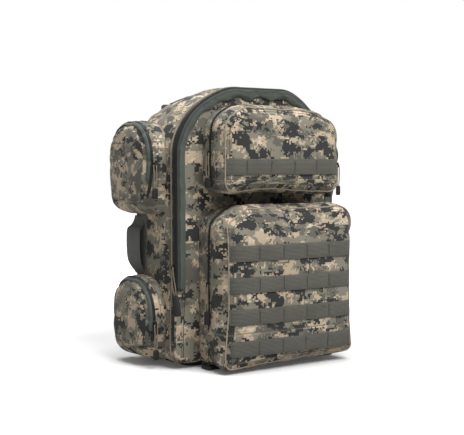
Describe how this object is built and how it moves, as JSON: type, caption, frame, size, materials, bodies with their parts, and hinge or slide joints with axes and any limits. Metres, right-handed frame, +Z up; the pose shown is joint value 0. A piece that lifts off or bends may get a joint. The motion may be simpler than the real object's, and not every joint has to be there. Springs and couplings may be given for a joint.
{
  "type": "hunting backpack",
  "caption": "Arched clamshell daypack with two zipped front pockets carrying webbing rows, four side pockets, shoulder straps and a folding waist belt.",
  "frame": {"origin": "on the ground under the middle of the main compartment, on the base panel's underside", "axes": "+Z up, -Y towards the front pockets, +Y towards the wearer's back, +X to the right of someone facing the front pockets"},
  "size_m": [0.406, 0.2922, 0.479],
  "materials": {
    "camo_fabric": "matt woven polyester, digital camouflage print",
    "webbing": "ribbed nylon webbing",
    "dark_fabric": "matt dark grey woven nylon",
    "storm_flap_fabric": "satin grey-green taffeta",
    "mesh_padding": "black spacer mesh over foam",
    "lining": "thin coated lining",
    "zip_tape": "black nylon coil",
    "black_metal": "black enamelled",
    "pull_cord": "black cord with moulded end",
    "black_plastic": "moulded acetal",
    "plastic_sheet": "natural polyethylene sheet"
  },
  "bodies": {
    "bag": {"main_shell": "camo_fabric", "hydration_sleeve": "lining", "frame_sheet": "plastic_sheet", "back_panel": "dark_fabric", "back_pads": "mesh_padding", "base_panel": "dark_fabric", "bag_zip_chains": "zip_tape", "upper_left_pocket": "camo_fabric", "lower_left_pocket": "camo_fabric", "upper_right_pocket": "camo_fabric", "lower_right_pocket": "camo_fabric", "side_handle_left": "dark_fabric", "side_handle_right": "dark_fabric", "shoulder_webbing": "webbing"},
    "front_panel": {"front_panel": "camo_fabric", "storm_flap": "storm_flap_fabric", "upper_pocket_body": "camo_fabric", "lower_pocket_body": "camo_fabric", "lower_webbing_bottom_row": "webbing", "pocket_zip_chains": "zip_tape", "base_lash_loops": "black_plastic"},
    "upper_pocket_cover": {"upper_pocket_cover": "camo_fabric", "upper_pocket_webbing": "webbing"},
    "lower_pocket_cover": {"lower_pocket_cover": "camo_fabric", "lower_webbing_upper_rows": "webbing"},
    "upper_left_flap": {"upper_left_flap": "camo_fabric"},
    "lower_left_flap": {"lower_left_flap": "camo_fabric"},
    "upper_right_flap": {"upper_right_flap": "camo_fabric"},
    "lower_right_flap": {"lower_right_flap": "camo_fabric"},
    "top_handle": {"top_handle": "dark_fabric"},
    "main_slider_left": {"main_slider_left": "black_metal"},
    "main_pull_left": {"main_pull_left": "pull_cord"},
    "main_slider_right": {"main_slider_right": "black_metal"},
    "main_pull_right": {"main_pull_right": "pull_cord"},
    "upper_slider_left": {"upper_slider_left": "black_metal"},
    "upper_pull_left": {"upper_pull_left": "pull_cord"},
    "upper_slider_right": {"upper_slider_right": "black_metal"},
    "upper_pull_right": {"upper_pull_right": "pull_cord"},
    "lower_slider_left": {"lower_slider_left": "black_metal"},
    "lower_pull_left": {"lower_pull_left": "pull_cord"},
    "lower_slider_right": {"lower_slider_right": "black_metal"},
    "lower_pull_right": {"lower_pull_right": "pull_cord"},
    "upper_side_slider_left": {"upper_side_slider_left": "black_metal"},
    "upper_side_pull_left": {"upper_side_pull_left": "pull_cord"},
    "upper_side_slider_right": {"upper_side_slider_right": "black_metal"},
    "upper_side_pull_right": {"upper_side_pull_right": "pull_cord"},
    "lower_side_slider_left": {"lower_side_slider_left": "black_metal"},
    "lower_side_pull_left": {"lower_side_pull_left": "pull_cord"},
    "lower_side_slider_right": {"lower_side_slider_right": "black_metal"},
    "lower_side_pull_right": {"lower_side_pull_right": "pull_cord"},
    "shoulder_strap_left": {"shoulder_strap_left": "dark_fabric", "ladder_lock_left": "black_plastic"},
    "sternum_strap_left": {"sternum_strap_left": "black_plastic"},
    "belt_wing_left": {"belt_wing_left": "dark_fabric", "belt_buckle_female": "black_plastic"},
    "shoulder_strap_right": {"shoulder_strap_right": "dark_fabric", "ladder_lock_right": "black_plastic"},
    "sternum_strap_right": {"sternum_strap_right": "black_plastic"},
    "belt_wing_right": {"belt_wing_right": "dark_fabric", "belt_buckle_male": "black_plastic"}
  },
  "joints": [
    {"name": "front_panel_opening", "type": "hinge", "parent": "bag", "child": "front_panel", "pos_m": [0, -0.0752, 0.0098], "axis": [1, 0, 0], "range_deg": [0, 90]},
    {"name": "upper_pocket_opening", "type": "hinge", "parent": "front_panel", "child": "upper_pocket_cover", "pos_m": [0, -0.1405, 0.3102], "axis": [1, 0, 0], "range_deg": [0, 95]},
    {"name": "lower_pocket_opening", "type": "hinge", "parent": "front_panel", "child": "lower_pocket_cover", "pos_m": [0, -0.1645, 0.0668], "axis": [1, 0, 0], "range_deg": [0, 95]},
    {"name": "upper_left_flap_opening", "type": "hinge", "parent": "bag", "child": "upper_left_flap", "pos_m": [-0.2031, 0.018, 0.2902], "axis": [0, -1, 0], "range_deg": [0, 100]},
    {"name": "lower_left_flap_opening", "type": "hinge", "parent": "bag", "child": "lower_left_flap", "pos_m": [-0.2031, 0.018, 0.0462], "axis": [0, -1, 0], "range_deg": [0, 100]},
    {"name": "upper_right_flap_opening", "type": "hinge", "parent": "bag", "child": "upper_right_flap", "pos_m": [0.2031, 0.018, 0.2902], "axis": [0, 1, 0], "range_deg": [0, 100]},
    {"name": "lower_right_flap_opening", "type": "hinge", "parent": "bag", "child": "lower_right_flap", "pos_m": [0.2031, 0.018, 0.0462], "axis": [0, 1, 0], "range_deg": [0, 100]},
    {"name": "main_zip_left", "type": "slide", "parent": "bag", "child": "main_slider_left", "axis": [0, 0, 1], "range_m": [-0.085, 0.177]},
    {"name": "main_pull_left_swing", "type": "hinge", "parent": "main_slider_left", "child": "main_pull_left", "pos_m": [-0.1704, -0.07, 0.168], "axis": [0, 1, 0], "range_deg": [0, 160]},
    {"name": "main_zip_right", "type": "slide", "parent": "bag", "child": "main_slider_right", "axis": [0, 0, 1], "range_m": [-0.085, 0.177]},
    {"name": "main_pull_right_swing", "type": "hinge", "parent": "main_slider_right", "child": "main_pull_right", "pos_m": [0.1704, -0.07, 0.168], "axis": [0, -1, 0], "range_deg": [0, 160]},
    {"name": "upper_zip_left", "type": "slide", "parent": "front_panel", "child": "upper_slider_left", "axis": [0, 0, 1], "range_m": [-0.036, 0.024]},
    {"name": "upper_pull_left_swing", "type": "hinge", "parent": "upper_slider_left", "child": "upper_pull_left", "pos_m": [-0.1234, -0.0995, 0.353], "axis": [0, 1, 0], "range_deg": [0, 150]},
    {"name": "upper_zip_right", "type": "slide", "parent": "front_panel", "child": "upper_slider_right", "axis": [0, 0, 1], "range_m": [-0.017, 0.043]},
    {"name": "upper_pull_right_swing", "type": "hinge", "parent": "upper_slider_right", "child": "upper_pull_right", "pos_m": [0.1234, -0.0995, 0.334], "axis": [0, -1, 0], "range_deg": [0, 150]},
    {"name": "lower_zip_left", "type": "slide", "parent": "front_panel", "child": "lower_slider_left", "axis": [0, 0, 1], "range_m": [-0.066, 0.072]},
    {"name": "lower_pull_left_swing", "type": "hinge", "parent": "lower_slider_left", "child": "lower_pull_left", "pos_m": [-0.1314, -0.1075, 0.14], "axis": [0, 1, 0], "range_deg": [0, 150]},
    {"name": "lower_zip_right", "type": "slide", "parent": "front_panel", "child": "lower_slider_right", "axis": [0, 0, 1], "range_m": [-0.066, 0.072]},
    {"name": "lower_pull_right_swing", "type": "hinge", "parent": "lower_slider_right", "child": "lower_pull_right", "pos_m": [0.1314, -0.1075, 0.14], "axis": [0, -1, 0], "range_deg": [0, 150]},
    {"name": "upper_side_zip_left", "type": "slide", "parent": "bag", "child": "upper_side_slider_left", "axis": [0, 0, 1], "range_m": [-0.038, 0.006]},
    {"name": "upper_side_pull_left_swing", "type": "hinge", "parent": "upper_side_slider_left", "child": "upper_side_pull_left", "pos_m": [-0.196, -0.0534, 0.334], "axis": [-1, 0, 0], "range_deg": [0, 150]},
    {"name": "upper_side_zip_right", "type": "slide", "parent": "bag", "child": "upper_side_slider_right", "axis": [0, 0, 1], "range_m": [-0.038, 0.006]},
    {"name": "upper_side_pull_right_swing", "type": "hinge", "parent": "upper_side_slider_right", "child": "upper_side_pull_right", "pos_m": [0.196, -0.0534, 0.334], "axis": [-1, 0, 0], "range_deg": [0, 150]},
    {"name": "lower_side_zip_left", "type": "slide", "parent": "bag", "child": "lower_side_slider_left", "axis": [0, 0, 1], "range_m": [-0.012, 0.006]},
    {"name": "lower_side_pull_left_swing", "type": "hinge", "parent": "lower_side_slider_left", "child": "lower_side_pull_left", "pos_m": [-0.196, -0.0534, 0.074], "axis": [-1, 0, 0], "range_deg": [0, 150]},
    {"name": "lower_side_zip_right", "type": "slide", "parent": "bag", "child": "lower_side_slider_right", "axis": [0, 0, 1], "range_m": [-0.012, 0.006]},
    {"name": "lower_side_pull_right_swing", "type": "hinge", "parent": "lower_side_slider_right", "child": "lower_side_pull_right", "pos_m": [0.196, -0.0534, 0.074], "axis": [-1, 0, 0], "range_deg": [0, 150]},
    {"name": "top_handle_flop", "type": "hinge", "parent": "bag", "child": "top_handle", "pos_m": [0, 0.068, 0.4735], "axis": [-1, 0, 0], "range_deg": [0, 75]},
    {"name": "shoulder_strap_left_lift", "type": "hinge", "parent": "bag", "child": "shoulder_strap_left", "pos_m": [-0.072, 0.0845, 0.437], "axis": [1, 0, 0], "range_deg": [0, 35]},
    {"name": "sternum_strap_left_height", "type": "slide", "parent": "shoulder_strap_left", "child": "sternum_strap_left", "axis": [0, 0, 1], "range_m": [-0.03, 0.03]},
    {"name": "belt_wing_left_swing", "type": "hinge", "parent": "bag", "child": "belt_wing_left", "pos_m": [-0.149, 0.0849, 0.047], "axis": [0, 0, 1], "range_deg": [0, 95]},
    {"name": "shoulder_strap_right_lift", "type": "hinge", "parent": "bag", "child": "shoulder_strap_right", "pos_m": [0.072, 0.0845, 0.437], "axis": [1, 0, 0], "range_deg": [0, 35]},
    {"name": "sternum_strap_right_height", "type": "slide", "parent": "shoulder_strap_right", "child": "sternum_strap_right", "axis": [0, 0, 1], "range_m": [-0.03, 0.03]},
    {"name": "belt_wing_right_swing", "type": "hinge", "parent": "bag", "child": "belt_wing_right", "pos_m": [0.149, 0.0849, 0.047], "axis": [0, 0, -1], "range_deg": [0, 95]}
  ]
}
